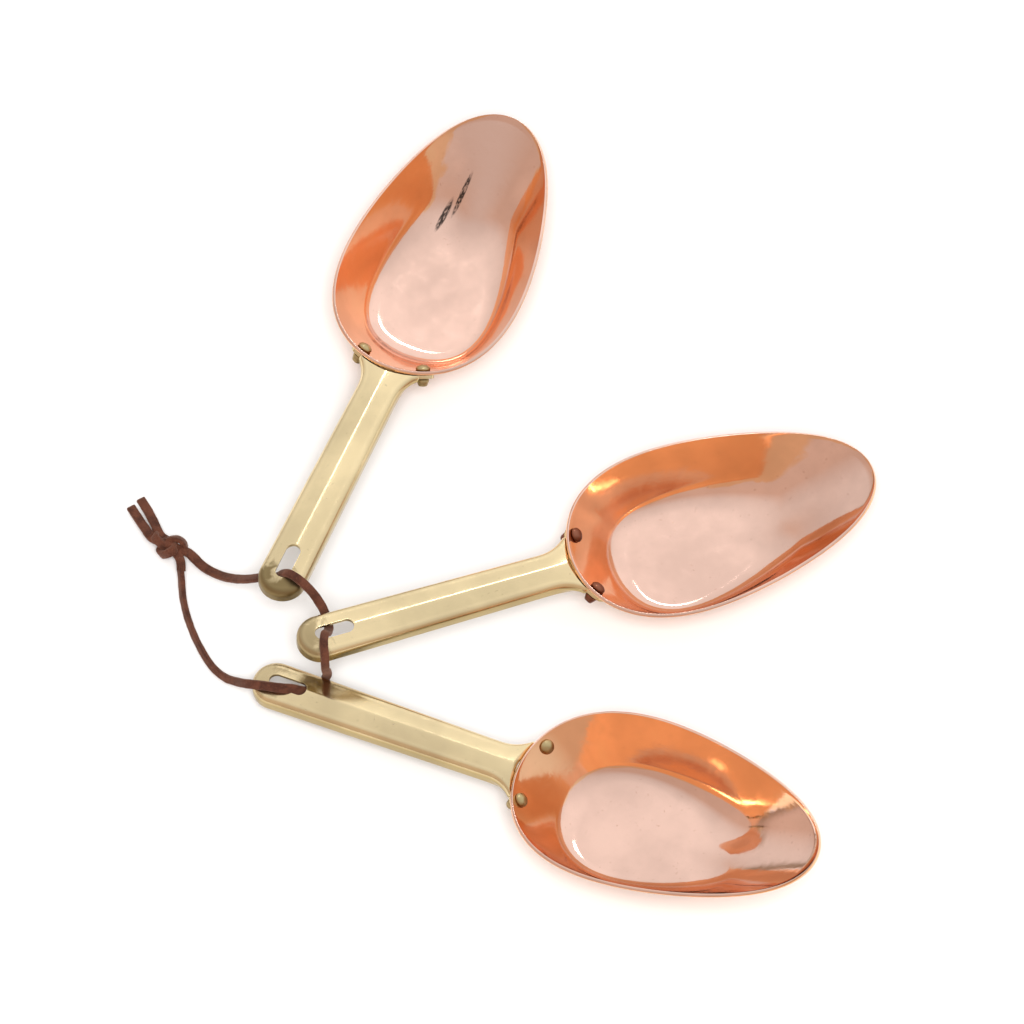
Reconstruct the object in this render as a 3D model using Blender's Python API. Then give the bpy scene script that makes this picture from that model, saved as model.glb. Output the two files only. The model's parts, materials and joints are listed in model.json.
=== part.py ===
"""Three hand-raised copper measuring scoops with pressed brass handles, strung on one leather lace.

Metres, +Z up, and the table is z = 0. Each scoop is modelled in its own frame: the heel of the rim
is the origin, +X runs to the tip of the bowl, the handle runs along -X, and z = 0 is the height of
the rim at the heel. An empty on the scoop's hinge, where the lace goes up through the slot of the
handle, then carries its pieces to their place on the table.
"""

import math

import bmesh
import bpy
import numpy as np
from mathutils import Matrix, Vector

# Clearance between pieces that touch on the real object.
FIT = 0.0003

# Bowl: an egg-shaped rim, blunt at the heel and narrower at the tip. The slopes and the bends of
# its wall are given at the heel, at the side and at the tip.
BOWL_LENGTH = 0.1022
BOWL_WIDTH = 0.0600
BOWL_DEPTH = 0.0195
BOWL_WALL = 0.0012
RIM_SHEER = 0.001
EGG_FULLNESS = (0.254, 0.128, -0.034)
CENTRE_SHARE = 0.36
WALL_SLOPE = (math.radians(52), math.radians(62), math.radians(28))
BEND_RADIUS = (0.010, 0.009, 0.034)
RIM_POINTS = 64
WALL_RINGS = 3
BEND_RINGS = 6

# Handle: a channel, open below, with a round closed end and a slot. It rises a little from just
# under the heel of the rim, and its top widens into a web over the flange.
HANDLE_LENGTH = 0.0939
HANDLE_NECK_WIDTH = 0.0135
HANDLE_END_WIDTH = 0.0155
HANDLE_HEIGHT = 0.0048
HANDLE_WALL = 0.0012
HANDLE_RISE = math.radians(3.2)
HANDLE_DROP = 0.0006
SHOULDER_RADIUS = 0.0024
SHOULDER_SEGMENTS = 4
FLARE_LENGTH = 0.0085
SKIRT_FLARE = 0.0010
WEB_FLARE = 0.0042
WEB_DROP = 0.0003
FLARE_POINTS = 6
END_POINTS = 14
SLOT_LENGTH = 0.0130
SLOT_WIDTH = 0.0048
SLOT_MARGIN = 0.0058
SLOT_END_POINTS = 8

# Flange: the curved plate at the end of the handle, riveted under the rim at the heel.
FLANGE_WALL = 0.0011
FLANGE_WIDTH = 0.0285
FLANGE_HEIGHT = 0.0064
FLANGE_DROP = 0.0006
FLANGE_CORNER = 0.0024
FLANGE_CORNER_POINTS = 3

# Rivets: a domed head inside the bowl, and a hammered tail behind the flange.
RIVET_SPACING = 0.0208
RIVET_DROP = 0.0029
RIVET_SHANK_RADIUS = 0.0015
RIVET_HEAD_RADIUS = 0.0024
RIVET_HEAD_HEIGHT = 0.0018
RIVET_EDGE_HEIGHT = 0.0004
RIVET_TAIL_RADIUS = 0.0020
RIVET_TIP_RADIUS = 0.0015
RIVET_TAIL_HEIGHT = 0.0023
RIVET_SIDES = 16
DOME_POINTS = 5

# Lace: a flat leather strip, 3.0 by 1.6 mm, that a round tube stands for. It leaves the knot, goes
# under and up through each handle in turn, and comes back over the table to the knot.
LACE_RADIUS = 0.0011
LOOP_POINTS = 78
TAIL_POINTS = 7
ROUTE_STEPS = 12
LACE_BEVEL_RESOLUTION = 2
LOOP_ROUTE = (
    (-0.1217, -0.0094, 0.0032), (-0.1168, -0.0147, 0.0036), (-0.1119, -0.0184, 0.0051),
    (-0.1072, -0.0215, 0.0083), (-0.1029, -0.0241, 0.0127), (-0.0981, -0.0259, 0.0170),
    (-0.0933, -0.0276, 0.0206), (-0.0907, -0.0284, 0.0244), (-0.0884, -0.0299, 0.0270),
    (-0.0851, -0.0321, 0.0266), (-0.0815, -0.0345, 0.0237), (-0.0784, -0.0375, 0.0200),
    (-0.0765, -0.0412, 0.0180), (-0.0758, -0.0452, 0.0189), (-0.0761, -0.0487, 0.0222),
    (-0.0769, -0.0513, 0.0259), (-0.0772, -0.0551, 0.0270), (-0.0769, -0.0586, 0.0259),
    (-0.0768, -0.0604, 0.0224), (-0.0767, -0.0596, 0.0173), (-0.0764, -0.0574, 0.0114),
    (-0.0766, -0.0566, 0.0071), (-0.0783, -0.0578, 0.0044), (-0.0809, -0.0601, 0.0048),
    (-0.0840, -0.0622, 0.0076), (-0.0872, -0.0633, 0.0111), (-0.0916, -0.0636, 0.0125),
    (-0.0968, -0.0625, 0.0119), (-0.1017, -0.0608, 0.0099), (-0.1053, -0.0580, 0.0060),
    (-0.1093, -0.0549, 0.0030), (-0.1133, -0.0508, 0.0021), (-0.1167, -0.0452, 0.0020),
    (-0.1196, -0.0387, 0.0014), (-0.1219, -0.0320, 0.0015), (-0.1234, -0.0253, 0.0015),
    (-0.1241, -0.0183, 0.0022), (-0.1247, -0.0114, 0.0031),
)
TAIL_ROUTES = {
    "lace_tail_1": (
        (-0.1341, -0.0036, 0.0035), (-0.1363, 0.0001, 0.0030), (-0.1386, 0.0042, 0.0022),
        (-0.1410, 0.0084, 0.0017),
    ),
    "lace_tail_2": (
        (-0.1317, -0.0021, 0.0037), (-0.1333, 0.0019, 0.0032), (-0.1353, 0.0064, 0.0026),
        (-0.1378, 0.0111, 0.0022),
    ),
}

# Knot: a rounded lump that each end of the lace goes a little way into.
KNOT_CENTRE = (-0.1284, -0.0066, 0.0033)
KNOT_SIZE = (0.0144, 0.0090, 0.0064)
KNOT_HEADING = math.radians(-22)
KNOT_SEGMENTS = 24
SOCKET_DEPTH = 0.0060

# Where the lace goes up through each slot, the heading of the bowl in degrees, how far the scoop
# lies tipped back, and how far along the handle, from its free end, the lace goes through.
SCOOPS = {
    "scoop_1": {"pivot": (-0.0906, -0.0281), "heading": 67.1, "tilt": 0.0, "lace_at": 0.0082},
    "scoop_2": {"pivot": (-0.0768, -0.0502), "heading": 19.5, "tilt": 0.0, "lace_at": 0.0092},
    "scoop_3": {"pivot": (-0.0849, -0.0634), "heading": -23.6, "tilt": 8.0, "lace_at": 0.0166},
}
RIVET_METALS = {"scoop_1": "rivet_brass", "scoop_2": "rivet_bronze", "scoop_3": "rivet_brass"}

FINISHES = {
    "copper": ((0.72, 0.27, 0.13), 0.16, 1.0),
    "brass": ((0.72, 0.56, 0.30), 0.24, 1.0),
    "rivet_brass": ((0.48, 0.37, 0.18), 0.35, 1.0),
    "rivet_bronze": ((0.20, 0.08, 0.05), 0.35, 1.0),
    "leather": ((0.11, 0.035, 0.022), 0.75, 0.0),
}

SMOOTH_ANGLE = math.radians(35)
CUTTER_MARGIN = 0.006
PLUG_LIFT = -0.3
SAME_PLACE = 1e-6
NORMAL_STEP = 1e-3
HALVINGS = 40
EGG_SAMPLES = 721


# ---------------------------------------------------------------- scene and objects


def clear_scene():
    for obj in list(bpy.data.objects):
        bpy.data.objects.remove(obj, do_unlink=True)


def make_materials():
    materials = {}
    for name, (colour, roughness, metallic) in FINISHES.items():
        material = bpy.data.materials.new(name)
        material.use_nodes = True
        shader = material.node_tree.nodes["Principled BSDF"]
        shader.inputs["Base Color"].default_value = (*colour, 1.0)
        shader.inputs["Roughness"].default_value = roughness
        shader.inputs["Metallic"].default_value = metallic
        materials[name] = material
    return materials


def make_empty(name, location, origin=(0, 0, 0)):
    """An empty that stands at the origin, a point in the frame of the pieces that it carries."""
    empty = bpy.data.objects.new(name, None)
    bpy.context.scene.collection.objects.link(empty)
    empty["origin"] = tuple(origin)
    empty.location = location
    return empty


def make_object(name, bm, parent, material=None):
    """An object with this bmesh, carried by the parent empty and shaded smooth."""
    mesh = bpy.data.meshes.new(name)
    bm.to_mesh(mesh)
    bm.free()
    mesh.shade_smooth()
    mesh.set_sharp_from_angle(angle=SMOOTH_ANGLE)
    if material:
        mesh.materials.append(material)
    obj = bpy.data.objects.new(name, mesh)
    bpy.context.scene.collection.objects.link(obj)
    obj.parent = parent
    obj.location = -Vector(parent["origin"])
    return obj


def make_cutter(name, bm, parent):
    """An object that only shapes others, so the build leaves it out."""
    bmesh.ops.recalc_face_normals(bm, faces=bm.faces)
    cutter = make_object(name, bm, parent)
    cutter.hide_render = True
    cutter.display_type = "WIRE"
    return cutter


def add_boolean(obj, operation, cutter):
    modifier = obj.modifiers.new(f"{operation.lower()} {cutter.name}", "BOOLEAN")
    modifier.operation = operation
    modifier.solver = "EXACT"
    modifier.object = cutter


def add_ring(bm, points):
    """A closed loop of edges through the points."""
    verts = [bm.verts.new(point) for point in points]
    return [bm.edges.new((verts[index - 1], vert)) for index, vert in enumerate(verts)]


def prism(points, top, bottom):
    """A bmesh extruded from plan points, from the top height down to the bottom height."""
    bm = bmesh.new()
    face = bm.faces.new([bm.verts.new((x, y, top)) for x, y in points])
    made = bmesh.ops.extrude_face_region(bm, geom=[face])["geom"]
    lower = [item for item in made if isinstance(item, bmesh.types.BMVert)]
    bmesh.ops.translate(bm, verts=lower, vec=(0, 0, bottom - top))
    bmesh.ops.recalc_face_normals(bm, faces=bm.faces)
    return bm


def arc_points(centre, radius, start, end, count):
    """Plan points along an arc, both of its ends included."""
    turns = np.linspace(start, end, count + 1)
    return [
        (centre[0] + radius * math.cos(turn), centre[1] + radius * math.sin(turn)) for turn in turns
    ]


# ---------------------------------------------------------------- bowl


def blend_round(values, angle):
    """A value that goes from the heel's through the side's to the tip's as the angle goes round."""
    heel, side, tip = values
    turn = math.cos(angle)
    return side + (heel - tip) / 2 * turn + ((heel + tip) / 2 - side) * turn**2


def egg_half_width(angle):
    turn = math.cos(angle)
    return math.sin(angle) * (
        1 + sum(weight * turn ** (power + 1) for power, weight in enumerate(EGG_FULLNESS))
    )


EGG_WIDEST = max(egg_half_width(angle) for angle in np.linspace(0, math.pi, EGG_SAMPLES))


def rim_point(angle):
    """A point of the inner rim: angle 0 is the heel and pi is the tip."""
    along = (1 - math.cos(angle)) / 2
    half_width = BOWL_WIDTH / 2 * egg_half_width(angle) / EGG_WIDEST
    return Vector((BOWL_LENGTH * along, half_width, RIM_SHEER * along**2))


def wall_profile(angle, share):
    """How far in from the rim, and how far below it, the inner wall is.

    Share 0 is the rim, 1 is where the wall bends into the bottom, and 2 is the edge of the flat.
    """
    slope = blend_round(WALL_SLOPE, angle)
    radius = blend_round(BEND_RADIUS, angle)
    depth = BOWL_DEPTH + rim_point(angle).z
    straight_down = depth - radius * (1 - math.cos(slope))
    straight_in = straight_down / math.tan(slope)
    if share <= 1:
        return straight_in * share, straight_down * share
    left = slope * (2 - share)
    return straight_in + radius * (math.sin(slope) - math.sin(left)), depth - radius * (
        1 - math.cos(left)
    )


def bowl_point(angle, share):
    """A point of the bowl's inner face."""
    rim = rim_point(angle)
    inwards, down = wall_profile(angle, share)
    to_centre = Vector((BOWL_LENGTH * CENTRE_SHARE - rim.x, -rim.y, 0)).normalized()
    return rim + to_centre * inwards - Vector((0, 0, down))


def bowl_normal(angle, share):
    """The direction off the bowl's inner face, into the bowl."""
    ahead = bowl_point(angle + NORMAL_STEP, share)
    behind = bowl_point(angle - NORMAL_STEP, share)
    down_way = bowl_point(angle, share) - bowl_point(angle, share - NORMAL_STEP)
    normal = (ahead - behind).cross(down_way).normalized()
    return normal if normal.z > 0 else -normal


def bowl_skin(offset=0.0, first_share=0.0):
    """The bowl's inner face, moved outwards by the offset, and the edges of its open top."""
    shares = np.linspace(first_share, 1, WALL_RINGS + 1)[:-1].tolist()
    shares += np.linspace(1, 2, BEND_RINGS + 1).tolist()
    angles = [2 * math.pi * index / RIM_POINTS for index in range(RIM_POINTS)]
    bm = bmesh.new()
    rings = []
    for share in shares:
        points = [bowl_point(angle, share) - bowl_normal(angle, share) * offset for angle in angles]
        rings.append(add_ring(bm, points))
    for upper, lower in zip(rings, rings[1:]):
        bmesh.ops.bridge_loops(bm, edges=upper + lower)
    bmesh.ops.contextual_create(bm, geom=rings[-1])
    return bm, rings[0]


def make_bowl_plug(name, offset, parent):
    """A cutter that fills the bowl out to the offset from its inner face, and above its rim."""
    bm, top = bowl_skin(offset, first_share=PLUG_LIFT)
    bmesh.ops.contextual_create(bm, geom=top)
    return make_cutter(name, bm, parent)


def make_bowl(name, parent, material):
    bm, _ = bowl_skin()
    bmesh.ops.recalc_face_normals(bm, faces=bm.faces)
    bm.faces.ensure_lookup_table()
    if bm.faces[-1].normal.z < 0:
        bmesh.ops.reverse_faces(bm, faces=bm.faces)
    bowl = make_object(name, bm, parent, material)
    solidify = bowl.modifiers.new("wall", "SOLIDIFY")
    solidify.thickness = BOWL_WALL
    solidify.offset = -1.0
    solidify.use_even_offset = True
    return bowl


# ---------------------------------------------------------------- handle


def handle_frame():
    """The handle's own frame in the scoop's: its top face is z = 0 there."""
    return Matrix.Translation((0, 0, -HANDLE_DROP)) @ Matrix.Rotation(HANDLE_RISE, 4, "Y")


def flare_side(half_width, flare):
    """Plan points along one side of the neck, which widens towards the flange."""
    side = [(CUTTER_MARGIN, half_width + flare)]
    for share in np.linspace(0, 1, FLARE_POINTS + 1):
        side.append((-FLARE_LENGTH * share, half_width + flare * (1 - share) ** 2))
    return side


def other_side(side):
    return [(x, -y) for x, y in reversed(side)]


def handle_outline(inset):
    """Plan points of the handle, from its flange round its free end and back."""
    radius = HANDLE_END_WIDTH / 2 - inset
    centre = (inset - HANDLE_LENGTH + radius, 0)
    side = flare_side(HANDLE_NECK_WIDTH / 2 - inset, SKIRT_FLARE)
    end = arc_points(centre, radius, math.pi / 2, 3 * math.pi / 2, END_POINTS)
    return side + end + other_side(side)


def round_top_edges(bm, top, radius):
    upper = [edge for edge in bm.edges if all(abs(vert.co.z - top) < SAME_PLACE for vert in edge.verts)]
    bmesh.ops.bevel(
        bm,
        geom=upper,
        offset=radius,
        affect="EDGES",
        segments=SHOULDER_SEGMENTS,
        profile=0.5,
        material=-1,
    )


def channel_form(inset, bottom):
    """The channel's outer form, or with an inset the hollow under it, in the scoop's frame."""
    bm = prism(handle_outline(inset), -inset, bottom)
    round_top_edges(bm, -inset, SHOULDER_RADIUS - inset)
    bmesh.ops.transform(bm, matrix=handle_frame(), verts=bm.verts)
    return bm


def web_form():
    """The plate that widens the top of the neck over the tails of the rivets."""
    side = flare_side(HANDLE_NECK_WIDTH / 2, WEB_FLARE)
    bm = prism(side + other_side(side), -WEB_DROP, -WEB_DROP - HANDLE_WALL)
    bmesh.ops.transform(bm, matrix=handle_frame(), verts=bm.verts)
    return bm


def flange_prism():
    """A rounded plate across the heel, long enough for the bowl's curve to cut it to a shell."""
    corner = FLANGE_CORNER
    across = FLANGE_WIDTH / 2 - corner
    up = FLANGE_HEIGHT / 2 - corner
    places = ((across, up), (-across, up), (-across, -up), (across, -up))
    outline = []
    for quarter, centre in enumerate(places):
        start = quarter * math.pi / 2
        outline += arc_points(
            centre, corner, start, start + math.pi / 2, FLANGE_CORNER_POINTS
        )
    bm = prism(outline, 2 * CUTTER_MARGIN, -2 * CUTTER_MARGIN)
    turn = Matrix(((0, 0, 1, 0), (1, 0, 0, 0), (0, 1, 0, 0), (0, 0, 0, 1)))
    middle = Matrix.Translation((0, 0, -FLANGE_DROP - FLANGE_HEIGHT / 2))
    bmesh.ops.transform(bm, matrix=middle @ turn, verts=bm.verts)
    bmesh.ops.recalc_face_normals(bm, faces=bm.faces)
    return bm


def slot_prism():
    radius = SLOT_WIDTH / 2
    outer = SLOT_MARGIN - HANDLE_LENGTH + radius
    inner = outer + SLOT_LENGTH - SLOT_WIDTH
    quarter = math.pi / 2
    outline = arc_points((inner, 0), radius, -quarter, quarter, SLOT_END_POINTS)
    outline += arc_points((outer, 0), radius, quarter, 3 * quarter, SLOT_END_POINTS)
    bm = prism(outline, CUTTER_MARGIN, -HANDLE_HEIGHT)
    bmesh.ops.transform(bm, matrix=handle_frame(), verts=bm.verts)
    return bm


def make_handle(name, parent, material):
    flange_back = BOWL_WALL + FIT + FLANGE_WALL
    back_plug = make_bowl_plug(f"{name}_flange_back", flange_back, parent)
    seat_plug = make_bowl_plug(f"{name}_flange_seat", BOWL_WALL + FIT, parent)

    flange = make_cutter(f"{name}_flange", flange_prism(), parent)
    add_boolean(flange, "INTERSECT", back_plug)

    web = make_cutter(f"{name}_web", web_form(), parent)
    hollow_form = channel_form(HANDLE_WALL, -HANDLE_HEIGHT - CUTTER_MARGIN)
    hollow = make_cutter(f"{name}_hollow", hollow_form, parent)
    add_boolean(hollow, "DIFFERENCE", back_plug)
    slot = make_cutter(f"{name}_slot", slot_prism(), parent)

    handle = make_object(name, channel_form(0.0, -HANDLE_HEIGHT), parent, material)
    add_boolean(handle, "DIFFERENCE", hollow)
    add_boolean(handle, "UNION", web)
    add_boolean(handle, "UNION", flange)
    add_boolean(handle, "DIFFERENCE", seat_plug)
    add_boolean(handle, "DIFFERENCE", slot)
    return handle


# ---------------------------------------------------------------- rivets


def rivet_frame(side):
    """Where a rivet goes through the heel: its +Z points off the bowl's inner face."""
    low, high = 0.0, math.pi / 3
    for _ in range(HALVINGS):
        middle = (low + high) / 2
        share = RIVET_DROP / wall_profile(middle, 1)[1]
        if bowl_point(middle, share).y < RIVET_SPACING / 2:
            low = middle
        else:
            high = middle
    angle = low * side
    share = RIVET_DROP / wall_profile(angle, 1)[1]
    turn = bowl_normal(angle, share).to_track_quat("Z", "Y").to_matrix().to_4x4()
    return Matrix.Translation(bowl_point(angle, share)) @ turn


def turned(profile, matrix):
    """A bmesh spun round the matrix's Z axis from radius and height pairs that end on the axis."""
    bm = bmesh.new()
    verts = [bm.verts.new((radius, 0, height)) for radius, height in profile]
    edges = [bm.edges.new(pair) for pair in zip(verts, verts[1:])]
    bmesh.ops.spin(
        bm,
        geom=verts + edges,
        cent=(0, 0, 0),
        axis=(0, 0, 1),
        angle=2 * math.pi,
        steps=RIVET_SIDES,
        use_merge=True,
    )
    bmesh.ops.remove_doubles(bm, verts=bm.verts, dist=SAME_PLACE)
    bmesh.ops.recalc_face_normals(bm, faces=bm.faces)
    bmesh.ops.transform(bm, matrix=matrix, verts=bm.verts)
    return bm


def rivet_profile():
    edge_top = FIT + RIVET_EDGE_HEIGHT
    dome = RIVET_HEAD_HEIGHT - RIVET_EDGE_HEIGHT
    grip = BOWL_WALL + FIT + FLANGE_WALL + FIT
    points = []
    for turn in np.linspace(math.pi / 2, 0, DOME_POINTS + 1):
        points.append((RIVET_HEAD_RADIUS * math.cos(turn), edge_top + dome * math.sin(turn)))
    points.append((RIVET_HEAD_RADIUS, FIT))
    points.append((RIVET_SHANK_RADIUS, FIT))
    points.append((RIVET_SHANK_RADIUS, -grip))
    points.append((RIVET_TAIL_RADIUS, -grip))
    points.append((RIVET_TIP_RADIUS, -grip - RIVET_TAIL_HEIGHT))
    points.append((0, -grip - RIVET_TAIL_HEIGHT))
    points[0] = (0, points[0][1])
    return points


def make_rivet(name, parent, side, bowl, handle, material):
    """A rivet, and the holes that it goes through in the bowl and the flange."""
    frame = rivet_frame(side)
    make_object(name, turned(rivet_profile(), frame), parent, material)
    hole_radius = RIVET_SHANK_RADIUS + FIT
    reach = RIVET_SHANK_RADIUS + BOWL_WALL + FIT + FLANGE_WALL
    hole = [(0, reach), (hole_radius, reach), (hole_radius, -reach), (0, -reach)]
    cutter = make_cutter(f"{name}_hole", turned(hole, frame), parent)
    add_boolean(bowl, "DIFFERENCE", cutter)
    add_boolean(handle, "DIFFERENCE", cutter)


# ---------------------------------------------------------------- scoops


def lowest_point(turn):
    """How far the turned bowl reaches below the heel of its rim."""
    bm, _ = bowl_skin(BOWL_WALL)
    lowest = min((turn @ vert.co).z for vert in bm.verts)
    bm.free()
    return lowest


def make_pivot(name, place):
    """The empty that carries a scoop: it stands on the hinge, where the lace goes through."""
    pivot_in_scoop = handle_frame() @ Vector((place["lace_at"] - HANDLE_LENGTH, 0, 0))
    turn = Matrix.Rotation(math.radians(place["heading"]), 4, "Z") @ Matrix.Rotation(
        -math.radians(place["tilt"]), 4, "Y"
    )
    height = (turn @ pivot_in_scoop).z - lowest_point(turn)
    pivot = make_empty(f"{name}_pivot", (*place["pivot"], height), pivot_in_scoop)
    pivot.rotation_euler = turn.to_euler()
    return pivot


def make_scoop(name, place, materials):
    pivot = make_pivot(name, place)
    bowl = make_bowl(f"{name}_bowl", pivot, materials["copper"])
    handle = make_handle(f"{name}_handle", pivot, materials["brass"])
    rivet_material = materials[RIVET_METALS[name]]
    for label, side in (("left", 1), ("right", -1)):
        make_rivet(f"{name}_rivet_{label}", pivot, side, bowl, handle, rivet_material)


# ---------------------------------------------------------------- lace


def route_curve(route):
    """Points along a centripetal Catmull-Rom curve through the route."""
    points = [Vector(point) for point in route]
    points = [2 * points[0] - points[1], *points, 2 * points[-1] - points[-2]]
    curve = []
    for a, b, c, d in zip(points, points[1:], points[2:], points[3:]):
        knots = [0.0]
        for start, end in ((a, b), (b, c), (c, d)):
            knots.append(knots[-1] + math.sqrt((end - start).length))
        for at in np.linspace(knots[1], knots[2], ROUTE_STEPS, endpoint=False):
            ab = a.lerp(b, at / knots[1])
            bc = b.lerp(c, (at - knots[1]) / (knots[2] - knots[1]))
            cd = c.lerp(d, (at - knots[2]) / (knots[3] - knots[2]))
            abc = ab.lerp(bc, at / knots[2])
            bcd = bc.lerp(cd, (at - knots[1]) / (knots[3] - knots[1]))
            curve.append(abc.lerp(bcd, (at - knots[1]) / (knots[2] - knots[1])))
    return np.array([*curve, points[-2]])


def even_points(curve, count):
    """This many points along the curve, the same length apart."""
    steps = np.linalg.norm(np.diff(curve, axis=0), axis=1)
    reached = np.concatenate([[0.0], np.cumsum(steps)])
    places = np.linspace(0, reached[-1], count)
    return np.stack([np.interp(places, reached, curve[:, axis]) for axis in range(3)], axis=1)


def make_strand(name, route, count, material):
    """A length of lace along the route. Returns its points."""
    points = even_points(route_curve(route), count)
    curve = bpy.data.curves.new(name, "CURVE")
    curve.dimensions = "3D"
    curve.bevel_depth = LACE_RADIUS
    curve.bevel_resolution = LACE_BEVEL_RESOLUTION
    curve.use_fill_caps = True
    curve.materials.append(material)
    spline = curve.splines.new("POLY")
    spline.points.add(len(points) - 1)
    for place, point in zip(spline.points, points):
        place.co = (*point, 1.0)
    spline.use_smooth = True
    strand = bpy.data.objects.new(name, curve)
    bpy.context.scene.collection.objects.link(strand)
    return points


def make_knot(name, strand_ends, material):
    """The knot, with a socket round each end of the lace: a point there and the next one out."""
    centre = make_empty(f"{name}_centre", KNOT_CENTRE)
    bm = bmesh.new()
    bmesh.ops.create_uvsphere(
        bm, u_segments=KNOT_SEGMENTS, v_segments=KNOT_SEGMENTS // 2, radius=0.5
    )
    bmesh.ops.scale(bm, verts=bm.verts, vec=KNOT_SIZE)
    bmesh.ops.rotate(bm, verts=bm.verts, matrix=Matrix.Rotation(KNOT_HEADING, 3, "Z"))
    knot = make_object(name, bm, centre, material)
    for index, (end, outwards) in enumerate(strand_ends):
        direction = (Vector(outwards) - Vector(end)).normalized()
        place = Matrix.Translation(Vector(end) - Vector(KNOT_CENTRE))
        turn = direction.to_track_quat("Z", "Y").to_matrix().to_4x4()
        radius = LACE_RADIUS + FIT
        socket = [(0, -FIT), (radius, -FIT), (radius, SOCKET_DEPTH), (0, SOCKET_DEPTH)]
        cutter = make_cutter(f"{name}_socket_{index + 1}", turned(socket, place @ turn), centre)
        add_boolean(knot, "DIFFERENCE", cutter)


def make_lace(material):
    loop = make_strand("lace_loop", LOOP_ROUTE, LOOP_POINTS, material)
    strand_ends = [(loop[0], loop[1]), (loop[-1], loop[-2])]
    for name, route in TAIL_ROUTES.items():
        tail = make_strand(name, route, TAIL_POINTS, material)
        strand_ends.append((tail[0], tail[1]))
    make_knot("lace_knot", strand_ends, material)


def main():
    clear_scene()
    materials = make_materials()
    for name, place in SCOOPS.items():
        make_scoop(name, place, materials)
    make_lace(materials["leather"])


main()
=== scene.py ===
"""Three hand-raised copper measuring scoops with riveted brass handles, strung on a leather lace.

Every piece is modelled in its scoop's own frame, where the heel of the rim is the origin, +X runs
to the tip of the bowl and the handle runs along -X, and is then carried to its place on the table.
"""

import json
import logging
import math
from dataclasses import dataclass, field
from enum import Enum
from typing import Any, Callable, Iterable, Sequence

import bmesh
import bpy
import numpy as np
from mathutils import Matrix, Vector, noise


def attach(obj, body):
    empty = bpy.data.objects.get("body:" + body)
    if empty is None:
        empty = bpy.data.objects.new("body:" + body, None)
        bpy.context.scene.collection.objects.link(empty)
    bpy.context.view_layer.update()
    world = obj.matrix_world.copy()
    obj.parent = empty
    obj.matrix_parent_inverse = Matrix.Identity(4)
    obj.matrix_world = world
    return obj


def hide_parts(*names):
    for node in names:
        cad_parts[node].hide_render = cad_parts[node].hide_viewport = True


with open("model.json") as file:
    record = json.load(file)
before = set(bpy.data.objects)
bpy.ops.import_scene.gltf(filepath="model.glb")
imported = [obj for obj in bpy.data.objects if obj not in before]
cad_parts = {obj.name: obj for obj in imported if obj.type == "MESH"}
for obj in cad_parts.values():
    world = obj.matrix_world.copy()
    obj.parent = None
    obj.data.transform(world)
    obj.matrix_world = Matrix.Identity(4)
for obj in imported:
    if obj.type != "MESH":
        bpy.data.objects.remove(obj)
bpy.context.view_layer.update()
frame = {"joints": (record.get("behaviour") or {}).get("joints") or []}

FIT = 0.0003
FULL_TURN = 2 * math.pi
HALF_TURN = math.pi
QUARTER_TURN = math.pi / 2
HALVINGS = 40
WELD = 1e-6
NOISE_SEED = 1
CRISP_ANGLE = math.radians(38)
ROUNDED_ANGLE = math.radians(50)

logging.basicConfig(level=logging.INFO, format="%(message)s")
log = logging.getLogger("scoops")

Place = tuple[float, float, float]
Colour = tuple[float, float, float]


class Side(Enum):
    """A side of a scoop, as the sign of its Y."""

    LEFT = 1
    RIGHT = -1


class Operation(Enum):
    """What one solid does to another."""

    JOIN = "UNION"
    CUT = "DIFFERENCE"


# ---------------------------------------------------------------- mesh work


def spun(profile: Sequence[tuple[float, float]], steps: int) -> bmesh.types.BMesh:
    """Turns a profile round the Z axis.

    Args:
        profile: Pairs of radius and height that start and end on the axis.
        steps: How many faces go round.

    Returns:
        The closed mesh.
    """
    bm = bmesh.new()
    verts = [bm.verts.new((radius, 0, height)) for radius, height in profile]
    edges = [bm.edges.new(pair) for pair in zip(verts, verts[1:])]
    bmesh.ops.spin(
        bm,
        geom=verts + edges,
        cent=(0, 0, 0),
        axis=(0, 0, 1),
        angle=FULL_TURN,
        steps=steps,
        use_merge=True,
    )
    bmesh.ops.remove_doubles(bm, verts=bm.verts, dist=WELD)
    bmesh.ops.recalc_face_normals(bm, faces=bm.faces)
    return bm


def mapped_grid(
    across: int, along: int, place: Callable[[float, float], Vector]
) -> bmesh.types.BMesh:
    """A grid whose vertices are moved to where a function puts them.

    Args:
        across: Faces along the first direction.
        along: Faces along the second.
        place: Gives a point for two shares from 0 to 1.

    Returns:
        The open skin.
    """
    bm = bmesh.new()
    bmesh.ops.create_grid(bm, x_segments=across, y_segments=along, size=0.5)
    for vert in bm.verts:
        vert.co = place(vert.co.x + 0.5, vert.co.y + 0.5)
    return bm


def loft(rings: Iterable[Sequence[Vector]]) -> bmesh.types.BMesh:
    """Joins loops of points, as many in each, into one closed skin.

    Args:
        rings: The loops, from one end to the other.

    Returns:
        A mesh whose faces point outwards.
    """
    rows = [[*points, points[0]] for points in rings]
    across, along = len(rows[0]) - 1, len(rows) - 1
    bm = mapped_grid(across, along, lambda u, v: rows[round(v * along)][round(u * across)])
    bmesh.ops.remove_doubles(bm, verts=bm.verts, dist=WELD)
    open_edges = [edge for edge in bm.edges if edge.is_boundary]
    if open_edges:
        bmesh.ops.edgeloop_fill(bm, edges=open_edges)
    bmesh.ops.recalc_face_normals(bm, faces=bm.faces)
    return bm


def face_towards(bm: bmesh.types.BMesh, way: Vector) -> None:
    """Turns the faces of an open skin all one way.

    Args:
        bm: The skin.
        way: The direction that its front looks in, on the whole.
    """
    bmesh.ops.recalc_face_normals(bm, faces=bm.faces)
    if sum(face.normal.dot(way) * face.calc_area() for face in bm.faces) < 0:
        bmesh.ops.reverse_faces(bm, faces=bm.faces)


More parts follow.
